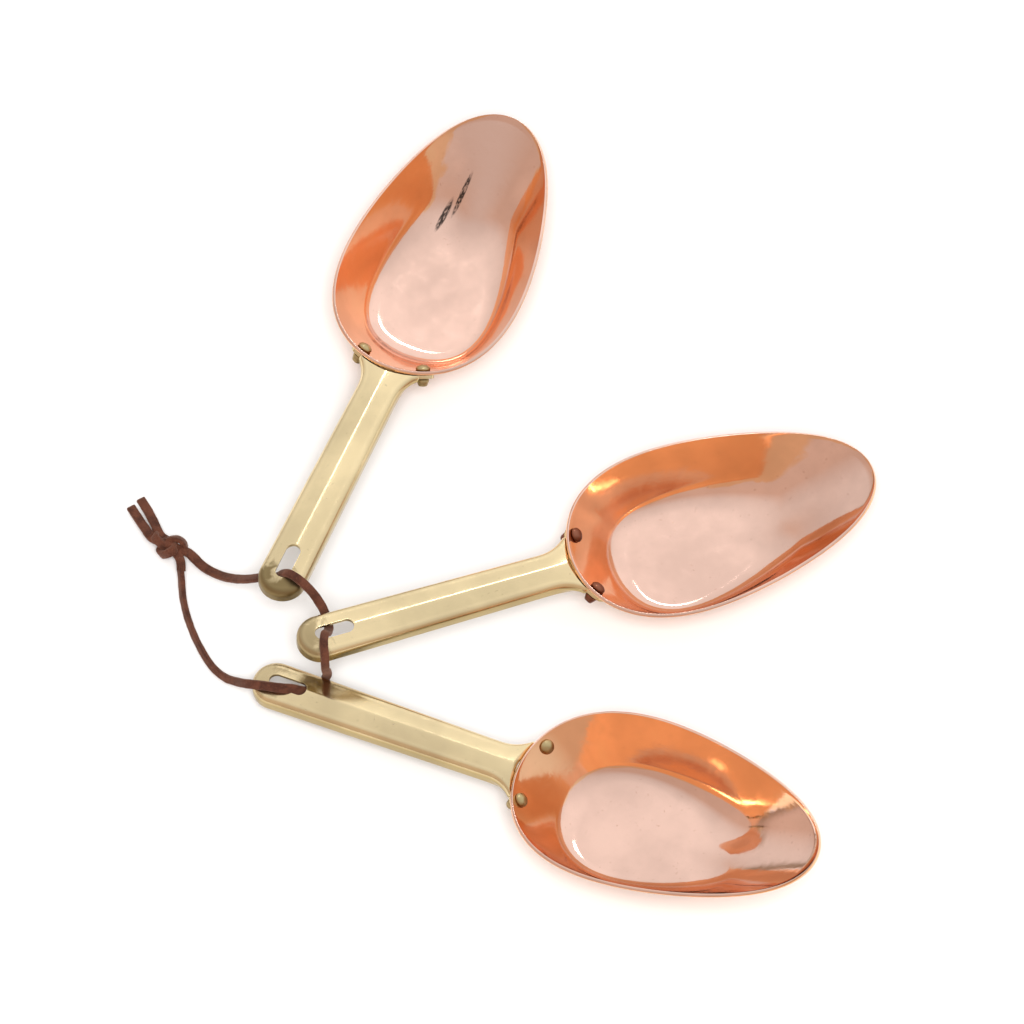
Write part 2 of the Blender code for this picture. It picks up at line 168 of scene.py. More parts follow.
def new_object(name: str, bm: bmesh.types.BMesh) -> bpy.types.Object:
    """Makes a smooth-shaded object from a mesh and frees the mesh.

    Args:
        name: The object's name.
        bm: The mesh.

    Returns:
        The object, linked to the scene.
    """
    mesh = bpy.data.meshes.new(name)
    bm.to_mesh(mesh)
    bm.free()
    obj = bpy.data.objects.new(name, mesh)
    bpy.context.scene.collection.objects.link(obj)
    mesh.shade_smooth()
    return obj


def bake(obj: bpy.types.Object) -> None:
    """Applies an object's modifiers, and shades it smooth but for its crisp edges.

    Args:
        obj: The object.
    """
    graph = bpy.context.evaluated_depsgraph_get()
    mesh = bpy.data.meshes.new_from_object(obj.evaluated_get(graph))
    obj.modifiers.clear()
    old, obj.data = obj.data, mesh
    bpy.data.meshes.remove(old)
    mesh.name = obj.name
    mesh.shade_smooth()
    mesh.set_sharp_from_angle(angle=CRISP_ANGLE)


def thicken(obj: bpy.types.Object, wall: float, offset: float, even: bool) -> None:
    """Gives a skin its wall, with a modifier.

    Args:
        obj: The skin.
        wall: How thick it becomes.
        offset: -1 to grow off the back of the skin, and 1 off its front.
        even: Whether the wall keeps its thickness round corners.
    """
    modifier = obj.modifiers.new("wall", "SOLIDIFY")
    modifier.thickness = wall
    modifier.offset = offset
    modifier.use_even_offset = even


def round_edges(obj: bpy.types.Object, width: float) -> None:
    """Rounds an object's sharp edges, with a modifier.

    Args:
        obj: The object.
        width: How wide the rounding is.
    """
    modifier = obj.modifiers.new("edges", "BEVEL")
    modifier.width = width
    modifier.segments = 3
    modifier.limit_method = "ANGLE"
    modifier.angle_limit = ROUNDED_ANGLE


def combine(obj: bpy.types.Object, operation: Operation, other: bpy.types.Object) -> None:
    """Joins or cuts an object with another, which is then removed.

    Args:
        obj: The object that is changed.
        operation: Whether it is joined or cut.
        other: The object that is used up.
    """
    modifier = obj.modifiers.new(operation.name.lower(), "BOOLEAN")
    modifier.operation = operation.value
    modifier.solver = "MANIFOLD"
    modifier.object = other
    bake(obj)
    bpy.data.objects.remove(other, do_unlink=True)


# ---------------------------------------------------------------- finishes


class Graph:
    """The node tree of one material, with a short way to add and join nodes."""

    def __init__(self, name: str) -> None:
        """Starts a material that holds only its shader and its output.

        Args:
            name: The material's name.
        """
        self.material = bpy.data.materials.new(name)
        self.material.use_nodes = True
        self.tree = self.material.node_tree
        self.shader = self.tree.nodes["Principled BSDF"]

    def add(self, kind: str, inputs: dict[Any, Any] | None = None, **settings: Any) -> Any:
        """Adds a node.

        Args:
            kind: The node's type.
            inputs: Its sockets' values, or the sockets that feed them.
            settings: Its own properties.

        Returns:
            The node.
        """
        node = self.tree.nodes.new(kind)
        for key, value in settings.items():
            setattr(node, key, value)
        for key, value in (inputs or {}).items():
            self.feed(node.inputs[key], value)
        return node

    def feed(self, socket: Any, value: Any) -> None:
        """Links a socket to another, or sets its value.

        Args:
            socket: The socket that is fed.
            value: The other socket, or the value.
        """
        if isinstance(value, bpy.types.NodeSocket):
            self.tree.links.new(value, socket)
        else:
            socket.default_value = value

    def finish(self, **inputs: Any) -> bpy.types.Material:
        """Feeds the shader.

        Args:
            inputs: Values or sockets for its own sockets, named with _ for a space.

        Returns:
            The material.
        """
        for key, value in inputs.items():
            self.feed(self.shader.inputs[key.replace("_", " ")], value)
        return self.material

    def mix(self, share: Any, first: Any, second: Any) -> Any:
        """Mixes two colours.

        Args:
            share: How much of the second there is.
            first: The first colour.
            second: The second colour.

        Returns:
            The mix's colour socket.
        """
        node = self.add("ShaderNodeMix", data_type="RGBA")
        for index, value in ((0, share), (6, first), (7, second)):
            self.feed(node.inputs[index], value)
        return node.outputs[2]

    def ramp(
        self, value: Any, low: float, high: float, start: float = 0.0, end: float = 1.0
    ) -> Any:
        """Steps a value smoothly.

        Args:
            value: The value.
            low: Where the step starts.
            high: Where it ends.
            start: What comes out up to low.
            end: What comes out from high.

        Returns:
            The step's socket.
        """
        node = self.add(
            "ShaderNodeMapRange",
            {"Value": value, "From Min": low, "From Max": high, "To Min": start, "To Max": end},
            interpolation_type="SMOOTHSTEP",
        )
        return node.outputs["Result"]

    def math(self, operation: str, first: Any, second: Any = 0.0) -> Any:
        """The socket of a sum, product or other operation."""
        node = self.add("ShaderNodeMath", {0: first, 1: second}, operation=operation)
        return node.outputs["Value"]

    def noise(
        self, coords: Any, scale: float, detail: float = 3.0, distortion: float = 0.0
    ) -> Any:
        """Adds a noise pattern.

        Args:
            coords: The coordinates that it is laid out on.
            scale: How fine it is.
            detail: How many finer layers it has.
            distortion: How much it swirls.

        Returns:
            The pattern's socket.
        """
        node = self.add(
            "ShaderNodeTexNoise",
            {"Vector": coords, "Scale": scale, "Detail": detail, "Distortion": distortion},
        )
        return node.outputs["Fac"]


@dataclass(frozen=True)
class Mark:
    """A dark scuff in the metal, as an ellipse in the scoop's plan, turned from its length."""

    x: float
    y: float
    length: float
    width: float
    turn: float


@dataclass(frozen=True)
class MetalFinish:
    """Polished sheet metal, with painted light: one tone where it lies flat and another where it
    slopes.

    The two tones hold painted light as well as the metal's colour. On the copper, the pink of the
    flat floor and the orange of the walls are painted reflections. On the brass and the rivets, the
    darker sloped faces are painted shade. Clouds, fine scratches and dark spots break up both
    tones, and old tarnish covers the part past the stained X. The metal counts as flat once its
    upward share passes from low to high.
    """

    name: str
    slot: str
    level: Colour
    steep_with_painted_light: Colour
    worn: Colour
    roughness: float
    haze: float
    low: float
    high: float
    waver: float = 0.10
    clouding: float = 0.12
    stained_from: float = -1.0
    stained_to: float = -1.1
    dark: Colour = (0.045, 0.035, 0.032)
    spots: float = 0.25
    scratch: float = 0.12

    def make(self, seed: int, tarnish: float, marks: Sequence[Mark] = ()) -> bpy.types.Material:
        """Builds the material.

        Args:
            seed: Moves the patterns, so that each scoop has its own.
            tarnish: How dark the stained part is, from 0 to 1.
            marks: Its scuffs.

        Returns:
            The material.
        """
        graph = Graph(f"{self.name}_{seed}")
        form = graph.add("ShaderNodeAttribute", attribute_name="form").outputs["Vector"]
        coords = graph.add(
            "ShaderNodeMapping", {"Vector": form, "Location": (0.31 * seed, 0.17 * seed, 0)}
        ).outputs["Vector"]
        drawn = graph.add(
            "ShaderNodeMapping", {"Vector": coords, "Scale": (60, 1400, 1400)}
        ).outputs["Vector"]
        crossed = graph.add(
            "ShaderNodeMapping",
            {"Vector": coords, "Rotation": (0, 0, 0.9), "Scale": (90, 1500, 1500)},
        ).outputs["Vector"]
        streamed = graph.add(
            "ShaderNodeMapping", {"Vector": coords, "Scale": (55, 150, 150)}
        ).outputs["Vector"]
        clouds = graph.noise(coords, 38, 4)
        blotches = graph.noise(coords, 210, 5, 0.6)
        flow = graph.noise(streamed, 1, 3, 0.8)
        specks = graph.noise(coords, 900, 2)
        lines = graph.math("MULTIPLY", graph.noise(drawn, 1, 2), graph.noise(crossed, 1, 2))

        # Painted light: the upward share of the normals picks the flat or the sloped tone. The
        # copper gets painted reflections this way, and the brass and the rivets get painted shade
        # on their sloped faces.
        upward = graph.add("ShaderNodeAttribute", attribute_name="upward").outputs["Fac"]
        wavered = graph.math("ADD", upward, graph.ramp(flow, 0.3, 0.7, -self.waver, self.waver))
        tone = graph.mix(
            graph.ramp(wavered, self.low, self.high), (*self.steep_with_painted_light, 1), (*self.level, 1)
        )
        dimmed = graph.ramp(clouds, 0.35, 0.68, 1 - self.clouding, 1 + self.clouding / 2)
        tone = graph.add(
            "ShaderNodeVectorMath", {0: tone, "Scale": dimmed}, operation="SCALE"
        ).outputs["Vector"]

        along = graph.add("ShaderNodeSeparateXYZ", {"Vector": form}).outputs["X"]
        ragged = graph.math("ADD", along, graph.ramp(blotches, 0.3, 0.7, -0.004, 0.004))
        handled = graph.ramp(ragged, self.stained_from, self.stained_to, 0, tarnish)
        dots = graph.ramp(specks, 0.68, 0.76, 0, self.spots)
        stain = graph.math("MAXIMUM", handled, dots)
        colour = graph.mix(stain, tone, (*self.worn, 1))
        for mark in marks:
            colour = graph.mix(self.scuff(graph, form, lines, mark), colour, (*self.dark, 1))

        hazed = graph.math("MULTIPLY", graph.ramp(blotches, 0.35, 0.75), self.haze)
        rough = graph.math("ADD", hazed, self.roughness)
        rough = graph.math("ADD", rough, graph.math("MULTIPLY", stain, 0.25))
        fine = graph.add(
            "ShaderNodeBump", {"Strength": self.scratch, "Distance": 0.00004, "Height": lines}
        ).outputs["Normal"]
        soft = graph.add(
            "ShaderNodeBump",
            {"Strength": 0.10, "Distance": 0.0003, "Height": blotches, "Normal": fine},
        ).outputs["Normal"]
        graph.shader.inputs["Metallic"].default_value = 1.0
        return graph.finish(Base_Color=colour, Roughness=rough, Normal=soft)

    @staticmethod
    def scuff(graph: Graph, form: Any, lines: Any, mark: Mark) -> Any:
        """Darkens one scuff, broken up by the scratches.

        Args:
            graph: The material's nodes.
            form: The scoop's own coordinates.
            lines: The pattern of fine scratches.
            mark: The scuff.

        Returns:
            The socket of how dark it is.
        """
        local = graph.add(
            "ShaderNodeMapping",
            {
                "Vector": form,
                "Location": (mark.x, mark.y, -0.012),
                "Rotation": (0, 0, mark.turn),
                "Scale": (mark.length / 2, mark.width / 2, 0.03),
            },
            vector_type="TEXTURE",
        ).outputs["Vector"]
        inside = graph.add(
            "ShaderNodeTexGradient", {"Vector": local}, gradient_type="SPHERICAL"
        ).outputs["Fac"]
        solid = graph.ramp(inside, 0.02, 0.40, 0, 0.95)
        return graph.math("MULTIPLY", solid, graph.ramp(lines, 0.16, 0.30, 0.35, 1))


@dataclass(frozen=True)
class LeatherFinish:
    """Dyed split leather: a red-brown nap, mottled with a darker pressed tone and flecked with a
    paler dusty one.
    """

    name: str = "lace_leather"
    slot: str = "leather"
    colour: Colour = (0.100, 0.032, 0.017)
    pressed: Colour = (0.045, 0.013, 0.007)
    dusty: Colour = (0.180, 0.070, 0.040)

    def make(self) -> bpy.types.Material:
        """Builds the material.

        Returns:
            The material.
        """
        graph = Graph(self.name)
        coords = graph.add("ShaderNodeTexCoord").outputs["Object"]
        mottle = graph.noise(coords, 260, 4, 0.4)
        nap = graph.noise(coords, 2600, 4, 0.8)
        pores = graph.add(
            "ShaderNodeTexVoronoi", {"Vector": coords, "Scale": 1900.0}
        ).outputs["Distance"]
        tone = graph.mix(graph.ramp(mottle, 0.34, 0.68), (*self.pressed, 1), (*self.colour, 1))
        lit = graph.math("MULTIPLY", graph.ramp(nap, 0.48, 0.74), 0.65)
        tone = graph.mix(lit, tone, (*self.dusty, 1))
        height = graph.math("ADD", nap, graph.math("MULTIPLY", pores, 0.5))
        bump = graph.add(
            "ShaderNodeBump", {"Strength": 0.55, "Distance": 0.00022, "Height": height}
        ).outputs["Normal"]
        rough = graph.ramp(nap, 0.3, 0.7, 0.66, 0.88)
        graph.shader.inputs["Sheen Weight"].default_value = 0.25
        graph.shader.inputs["Sheen Roughness"].default_value = 0.5
        graph.shader.inputs["Sheen Tint"].default_value = (0.8, 0.45, 0.32, 1)
        graph.shader.inputs["Specular IOR Level"].default_value = 0.3
        return graph.finish(Base_Color=tone, Roughness=rough, Normal=bump)


@dataclass(frozen=True)
class FloorFinish:
    """A matt white table, barely mottled."""

    colour: float = 0.88
    mottle: float = 0.02

    def make(self) -> bpy.types.Material:
        """Builds the material.

        Returns:
            The material.
        """
        graph = Graph("white_table")
        coords = graph.add("ShaderNodeTexCoord").outputs["Object"]
        patches = graph.noise(coords, 3)
        white = graph.ramp(patches, 0.3, 0.7, self.colour - self.mottle, self.colour)
        tone = graph.add("ShaderNodeCombineColor", {"Red": white, "Green": white, "Blue": white})
        graph.shader.inputs["Roughness"].default_value = 0.75
        graph.shader.inputs["Specular IOR Level"].default_value = 0.1
        return graph.finish(Base_Color=tone.outputs["Color"])


# The copper's flat and sloped tones are painted reflections: pink on the floor and warm orange on
# the walls, over one metal.
COPPER = MetalFinish(
    name="copper",
    slot="copper",
    level=(0.945, 0.640, 0.530),
    steep_with_painted_light=(0.980, 0.550, 0.320),
    worn=(0.480, 0.200, 0.110),
    roughness=0.065,
    haze=0.06,
    low=0.66,
    high=0.71,
    waver=0.03,
)
# The brass's sloped tone is much darker than its flat tone: painted shade on the handle's sides,
# shoulders and end.
BRASS = MetalFinish(
    name="brass",
    slot="brass",
    level=(0.860, 0.700, 0.420),
    steep_with_painted_light=(0.440, 0.335, 0.155),
    worn=(0.230, 0.165, 0.070),
    roughness=0.17,
    haze=0.08,
    low=0.15,
    high=0.85,
    waver=0.06,
    stained_from=-0.0835,
    stained_to=-0.0885,
)
# The rivets' sloped tone is darker than their flat tone: painted shade round the edge of each dome.
RIVET_BRASS = MetalFinish(
    name="rivet_brass",
    slot="rivet_brass",
    level=(0.560, 0.440, 0.230),
    steep_with_painted_light=(0.300, 0.210, 0.095),
    worn=(0.150, 0.100, 0.045),
    roughness=0.28,
    haze=0.12,
    low=0.20,
    high=0.90,
    spots=0.7,
)
# Here too the sloped tone is darker: painted shade round the edge of each dome.
RIVET_BRONZE = MetalFinish(
    name="rivet_bronze",
    slot="rivet_bronze",
    level=(0.300, 0.115, 0.070),
    steep_with_painted_light=(0.130, 0.050, 0.030),
    worn=(0.060, 0.026, 0.016),
    roughness=0.32,
    haze=0.12,
    low=0.20,
    high=0.90,
    spots=0.7,
)
LEATHER = LeatherFinish()


# ---------------------------------------------------------------- bowl


@dataclass(frozen=True)
class BowlForm:
    """The inner face of a bowl: an egg-shaped rim, a sloped wall, a round bend and a flat.

    The slopes, in degrees, and the bends of the wall are given at the heel, side and tip.
    """

    length: float = 0.1022
    width: float = 0.0600
    depth: float = 0.0195
    wall: float = 0.0012
    sheer: float = 0.001
    fullness: Place = (0.254, 0.128, -0.034)
    centre_share: float = 0.36
    slope: Place = (52.0, 62.0, 28.0)
    bend: Place = (0.010, 0.009, 0.034)
    beat: float = 0.00009
    beat_size: Place = (0.040, 0.013, 0.013)
    ripple: float = 0.000018
    ripple_size: float = 0.0075
    seed: int = 1

    @staticmethod
    def blend(values: Place, angle: float) -> float:
        """Eases a value round the rim.

        Args:
            values: The value at the heel, side and tip.
            angle: The place round the rim.

        Returns:
            The value there.
        """
        heel, side, tip = values
        turn = math.cos(angle)
        return side + (heel - tip) / 2 * turn + ((heel + tip) / 2 - side) * turn**2

    def half_width(self, angle: float) -> float:
        """Gives the egg's half width, before it is scaled to the bowl's.

        Args:
            angle: The place round the rim.

        Returns:
            The half width.
        """
        turn = math.cos(angle)
        fuller = sum(weight * turn ** (power + 1) for power, weight in enumerate(self.fullness))
        return math.sin(angle) * (1 + fuller)

    def widest(self) -> float:
        """The largest unscaled half width."""
        return max(self.half_width(angle) for angle in np.linspace(0, HALF_TURN, 721))

    def rim(self, angle: float) -> Vector:
        """Gives a point of the inner rim.

        Args:
            angle: The place round the rim: 0 is the heel and half a turn is the tip.

        Returns:
            The point.
        """
        along = (1 - math.cos(angle)) / 2
        half = self.width / 2 * self.half_width(angle) / WIDEST
        return Vector((self.length * along, half, self.sheer * along**2))

    def profile(self, angle: float, share: float) -> tuple[float, float]:
        """Gives how far in from the rim, and how far below it, the inner face is.

        Args:
            angle: The place round the rim.
            share: 0 at the rim, 1 where the wall starts to bend, 2 at the edge of the flat.

        Returns:
            The two distances.
        """
        slope = math.radians(self.blend(self.slope, angle))
        radius = self.blend(self.bend, angle)
        depth = self.depth + self.rim(angle).z
        down = depth - radius * (1 - math.cos(slope))
        inwards = down / math.tan(slope)
        if share <= 1:
            return inwards * share, down * share
        left = slope * (2 - share)
        reach = radius * (math.sin(slope) - math.sin(left))
        return inwards + reach, depth - radius * (1 - math.cos(left))

    def smooth_point(self, angle: float, share: float) -> Vector:
        """Gives a point of the inner face.

        Args:
            angle: The place round the rim.
            share: The place down the wall. From 2 to 3 it goes from the edge of the flat to its
                middle.

        Returns:
            The point.
        """
        rim = self.rim(angle)
        inwards, down = self.profile(angle, min(share, 2.0))
        middle = Vector((self.length * self.centre_share, 0, 0))
        to_centre = Vector((middle.x - rim.x, -rim.y, 0)).normalized()
        point = rim + to_centre * inwards - Vector((0, 0, down))
        if share > 2:
            middle.z = point.z
            point = point.lerp(middle, share - 2)
        return point

    def normal(self, angle: float, share: float) -> Vector:
        """Gives the direction off the inner face, into the bowl.

        Args:
            angle: The place round the rim.
            share: The place down the wall.

        Returns:
            The direction, which is straight up over the flat.
        """
        if share >= 2:
            return Vector((0, 0, 1))
        step = 1e-3
        ahead = self.smooth_point(angle + step, share) - self.smooth_point(angle - step, share)
        down = self.smooth_point(angle, share) - self.smooth_point(angle, share - step)
        normal = ahead.cross(down).normalized()
        return normal if normal.z > 0 else -normal

    def dents(self, point: Vector) -> float:
        """Gives how far the hammer has moved the sheet.

        Args:
            point: A point of the smooth sheet.

        Returns:
            The distance along its normal.
        """
        shift = Vector((1.7, 0.9, 2.3)) * self.seed
        stretched = Vector(along / size for along, size in zip(point, self.beat_size))
        broad = noise.noise(stretched + shift) * self.beat
        return broad + noise.noise(point / self.ripple_size + shift) * self.ripple

    def point(self, angle: float, share: float, offset: float = 0.0) -> Vector:
        """Gives a point of the beaten sheet.

        Args:
            angle: The place round the rim.
            share: The place down the wall, from 0 at the rim to 3 at the middle.
            offset: How far outwards from the inner face.

        Returns:
            The point.
        """
        point = self.smooth_point(angle, share)
        normal = self.normal(angle, share)
        return point + normal * (self.dents(point) - offset)


WIDEST = BowlForm.widest(BowlForm())


@dataclass(frozen=True)
class Bowl:
    """A raised copper bowl with a rounded lip."""

    form: BowlForm
    round_faces: int = 176
    wall_rings: int = 14
    bend_rings: int = 16
    flat_rings: int = 14
    lip_steps: int = 8
    lip_height: float = 0.00025
    above_rim: tuple[float, float] = (-0.35, -0.15)

    def shares(self) -> list[float]:
        """Spaces the rings of the wall.

        Returns:
            Their places down it, from under the lip to the middle.
        """
        shares = np.linspace(0.0, 1, self.wall_rings + 1)[:-1].tolist()
        shares += np.linspace(1, 2, self.bend_rings + 1)[:-1].tolist()
        return shares + np.linspace(2, 3, self.flat_rings + 1).tolist()

    def loop(self, share: float, offset: float) -> list[Vector]:
        """The points of one ring."""
        angles = np.linspace(0, FULL_TURN, self.round_faces, endpoint=False)
        return [self.form.point(angle, share, offset) for angle in angles]

    def lip(self) -> list[list[Vector]]:
        """Rounds the bowl's edge.

        Returns:
            The rings over it, from the inner face to the outer.
        """
        inner, outer = self.loop(0, 0), self.loop(0, self.form.wall)
        rings = []
        for turn in np.linspace(0, HALF_TURN, self.lip_steps + 1)[1:-1]:
            middle = [(near + far) / 2 for near, far in zip(inner, outer)]
            rings.append(
                [
                    centre + (near - centre) * math.cos(turn)
                    + Vector((0, 0, self.lip_height * math.sin(turn)))
                    for centre, near in zip(middle, inner)
                ]
            )
        return rings

    def mesh(self) -> bmesh.types.BMesh:
        """Makes the whole bowl.

        Returns:
            One closed skin.
        """
        shares = self.shares()
        inside = [self.loop(share, 0) for share in reversed(shares)]
        outside = [self.loop(share, self.form.wall) for share in shares]
        return loft([*inside, *self.lip(), *outside])

    def plug(self, offset: float) -> bmesh.types.BMesh:
        """Makes a solid that fills the bowl, and goes on above its rim.

        Args:
            offset: How far outwards from the inner face it reaches.

        Returns:
            The closed mesh.
        """
        shares = [*self.above_rim, *self.shares()[::2]]
        angles = np.linspace(0, FULL_TURN, self.round_faces // 2, endpoint=False)
        form = self.form
        return loft(
            [
                [
                    form.smooth_point(angle, share) - form.normal(angle, share) * offset
                    for angle in angles
                ]
                for share in shares
            ]
        )

    def rivet_place(self, side: Side, spacing: float, drop: float) -> Matrix:
        """Finds where a rivet goes through the heel.

        Args:
            side: The side of the scoop.
            spacing: The distance between the two rivets.
            drop: How far below the rim they are.

        Returns:
            A matrix whose +Z points off the inner face.
        """
        low, high = 0.0, HALF_TURN / 3
        for _ in range(HALVINGS):
            middle = (low + high) / 2
            share = drop / self.form.profile(middle, 1)[1]
            if self.form.smooth_point(middle, share).y < spacing / 2:
                low = middle
            else:
                high = middle
        angle = low * side.value
        share = drop / self.form.profile(angle, 1)[1]
        turn = self.form.normal(angle, share).to_track_quat("Z", "Y").to_matrix().to_4x4()
        return Matrix.Translation(self.form.smooth_point(angle, share)) @ turn


# ---------------------------------------------------------------- handle


@dataclass(frozen=True)
class Handle:
    """A pressed brass channel, open below, with a crowned top, a hanging slot and a wing flange."""

    bowl: Bowl
    length: float = 0.0939
    neck_width: float = 0.0135
    end_width: float = 0.0155
    height: float = 0.0048
    wall: float = 0.0012
    rise: float = math.radians(3.2)
    drop: float = 0.0006
    crown: float = 0.0010
    crown_power: float = 1.2
    shoulder: float = 0.0024
    flare_length: float = 0.0105
    web_flare: float = 0.0040
    web_power: float = 2.4
    skirt_flare: float = 0.0012
    slot_length: float = 0.0130
    slot_width: float = 0.0048
    slot_margin: float = 0.0058
    flange_wall: float = 0.0011
    flange_width: float = 0.0285
    flange_height: float = 0.0064
    flange_drop: float = 0.0006
    flange_round: tuple[float, float] = (0.10, 0.22)
    flange_faces: tuple[int, int] = (56, 12)
    edge: float = 0.00028
    overrun: float = 0.006
    cutter_reach: float = 0.004
    crown_steps: int = 10
    shoulder_steps: int = 9
    skirt_steps: int = 5
    stations: int = 72
    end_steps: int = 40

    def frame(self) -> Matrix:
        """The handle's own frame in the scoop's."""
        return Matrix.Translation((0, 0, -self.drop)) @ Matrix.Rotation(self.rise, 4, "Y")

    def half_profile(self, half: float, skirt_half: float) -> list[tuple[float, float]]:
        """Draws the right half of a cross-section, from the middle of the top to the skirt's foot.

        Args:
            half: Half the width at the shoulder.
            skirt_half: Half the width at the foot.

        Returns:
            Pairs of distance from the middle and height.
        """
        flat = half - self.shoulder
        points = []
        for share in np.linspace(0, 1, self.crown_steps + 1)[:-1]:
            across = share * flat
            points.append((across, self.crown * (1 - share**self.crown_power)))
        for turn in np.linspace(QUARTER_TURN, 0, self.shoulder_steps + 1):
            across = flat + self.shoulder * math.cos(turn)
            points.append((across, self.shoulder * (math.sin(turn) - 1)))
        for share in np.linspace(0, 1, self.skirt_steps + 1)[1:]:
            across = half + (skirt_half - half) * share
            down = self.shoulder + (self.height - self.shoulder) * share
            points.append((across, -down))
        return points

    def end_centre(self) -> float:
        """The X of the middle of the round end."""
        return self.end_width / 2 - self.length

    def halves(self, along: float) -> tuple[float, float]:
        """Gives half the width at one place along the handle.

        Args:
            along: The X of the place.

        Returns:
            Half the width at the shoulder, and at the foot.
        """
        taper = min(1.0, max(0.0, along / self.end_centre()))
        half = (self.neck_width + (self.end_width - self.neck_width) * taper) / 2
        near = min(1.0, max(0.0, 1 + along / self.flare_length))
        return half + self.web_flare * near**self.web_power, half + self.skirt_flare * near**2

    def skin(self) -> bmesh.types.BMesh:
        """Makes the outer face of the channel, open below and at the flange.

        Returns:
            The open skin.
        """
        start, end = self.overrun, self.end_centre()
        count = len(self.half_profile(*self.halves(end))) - 1

        def place(across: float, along: float) -> Vector:
            """Gives a point of the straight stretch.

            Args:
                across: The share of the way round the cross-section.
                along: The share of the way from the neck, where the stations are closest.

            Returns:
                The point.
            """
            x = start + (end - start) * along**1.5
            profile = self.half_profile(*self.halves(x))
            step = round(across * 2 * count) - count
            y, z = profile[abs(step)]
            return Vector((x, math.copysign(y, step) if step else 0.0, z))

        bm = mapped_grid(2 * count, self.stations, place)
        profile = self.half_profile(*self.halves(end))
        verts = [bm.verts.new((end, y, z)) for y, z in profile]
        edges = [bm.edges.new(pair) for pair in zip(verts, verts[1:])]
        bmesh.ops.spin(
            bm,
            geom=verts + edges,
            cent=(end, 0, 0),
            axis=(0, 0, 1),
            angle=HALF_TURN,
            steps=self.end_steps,
        )
        bmesh.ops.remove_doubles(bm, verts=bm.verts, dist=5 * WELD)
        face_towards(bm, Vector((0, 0, 1)))
        return bm

    def slot(self) -> bmesh.types.BMesh:
        """Makes the solid that cuts the hanging slot.

        Returns:
            The closed mesh.
        """
        radius = self.slot_width / 2
        outer = self.slot_margin - self.length + radius
        inner = outer + self.slot_length - self.slot_width
        plan = []
        for centre, start in ((inner, -QUARTER_TURN), (outer, QUARTER_TURN)):
            for turn in np.linspace(start, start + HALF_TURN, 17):
                plan.append((centre + radius * math.cos(turn), radius * math.sin(turn)))
        heights = (self.cutter_reach, -self.cutter_reach)
        return loft([[Vector((x, y, height)) for x, y in plan] for height in heights])

    def flange(self) -> bmesh.types.BMesh:
        """Makes the curved plate that is riveted behind the heel.

        Returns:
            The open skin of its front face.
        """
        form = self.bowl.form
        reach = 0.0
        while form.rim(reach).y < self.flange_width / 2:
            reach += 0.002

        def place(across: float, down: float) -> Vector:
            """Gives a point of the plate's front, with its corners pulled round.

            Args:
                across: The share of its width.
                down: The share of its height.

            Returns:
                The point.
            """
            u, v = 2 * across - 1, 2 * down - 1
            angle = reach * u * (1 - self.flange_round[0] * abs(v) ** 5)
            v *= 1 - self.flange_round[1] * abs(u) ** 9
            drop = self.flange_drop + self.flange_height * (v + 1) / 2
            share = drop / form.profile(angle, 1)[1]
            offset = form.wall + FIT
            return form.smooth_point(angle, share) - form.normal(angle, share) * offset

        bm = mapped_grid(*self.flange_faces, place)
        face_towards(bm, Vector((-1, 0, 0)))
        return bm

    def build(self, name: str) -> bpy.types.Object:
        """Makes the whole handle, in the scoop's frame.

        Args:
            name: The piece's name.

        Returns:
            The piece.
        """
        handle = new_object(name, self.skin())
        thicken(handle, self.wall, -1.0, even=True)
        bake(handle)
        combine(handle, Operation.CUT, new_object("slot_cutter", self.slot()))
        round_edges(handle, self.edge)
        bake(handle)
        handle.data.transform(self.frame())

        flange = new_object("flange", self.flange())
        thicken(flange, self.flange_wall, 1.0, even=False)
        round_edges(flange, self.edge)
        bake(flange)
        seat = new_object("seat", self.bowl.plug(self.bowl.form.wall + FIT))
        combine(handle, Operation.CUT, seat)
        combine(handle, Operation.JOIN, flange)
        return handle


# ---------------------------------------------------------------- rivets


@dataclass(frozen=True)
class Rivet:
    """A domed head inside the bowl and a hammered, tapered tail behind the flange."""

    spacing: float = 0.0208
    drop: float = 0.0029
    shank: float = 0.0015
    head: float = 0.0024
    head_height: float = 0.0018
    edge_height: float = 0.0004
    tail: float = 0.0021
    tip: float = 0.0015
    tail_height: float = 0.0023
    chamfer: float = 0.0003
    dome_power: float = 1.25
    grip: float = BowlForm.wall + FIT + Handle.flange_wall + FIT
    mark_size: float = 0.0013
    mark_depth: float = 0.00009
    dome_steps: int = 12
    sides: int = 48

    def mesh(self, seed: float) -> bmesh.types.BMesh:
        """Makes the rivet, with its head up along +Z.

        Args:
            seed: Makes each head's hammer marks its own.

        Returns:
            The closed mesh.
        """
        edge = FIT / 3 + self.edge_height
        dome = self.head_height - self.edge_height
        profile = [(0.0, edge + dome)]
        for turn in np.linspace(QUARTER_TURN, 0, self.dome_steps + 1)[1:]:
            flatter = math.sin(turn) ** self.dome_power
            profile.append((self.head * math.cos(turn), edge + dome * flatter))
        profile += [(self.head * 0.99, edge - 0.00025), (self.head * 0.93, FIT / 3)]
        profile += [(self.shank, FIT / 3), (self.shank, -self.grip)]
        profile += [(self.tail * 0.9, -self.grip), (self.tail, -self.grip - self.chamfer)]
        end = -self.grip - self.tail_height
        profile += [(self.tip, end + self.chamfer), (self.tip * 0.8, end), (0.0, end)]
        bm = spun(profile, self.sides)
        for vert in bm.verts:
            if vert.co.z > edge or vert.co.z < -self.grip:
                mark = noise.noise(vert.co / self.mark_size + Vector((seed, 2 * seed, 0)))
                vert.co += vert.co.normalized() * mark * self.mark_depth
        return bm


# ---------------------------------------------------------------- scoops


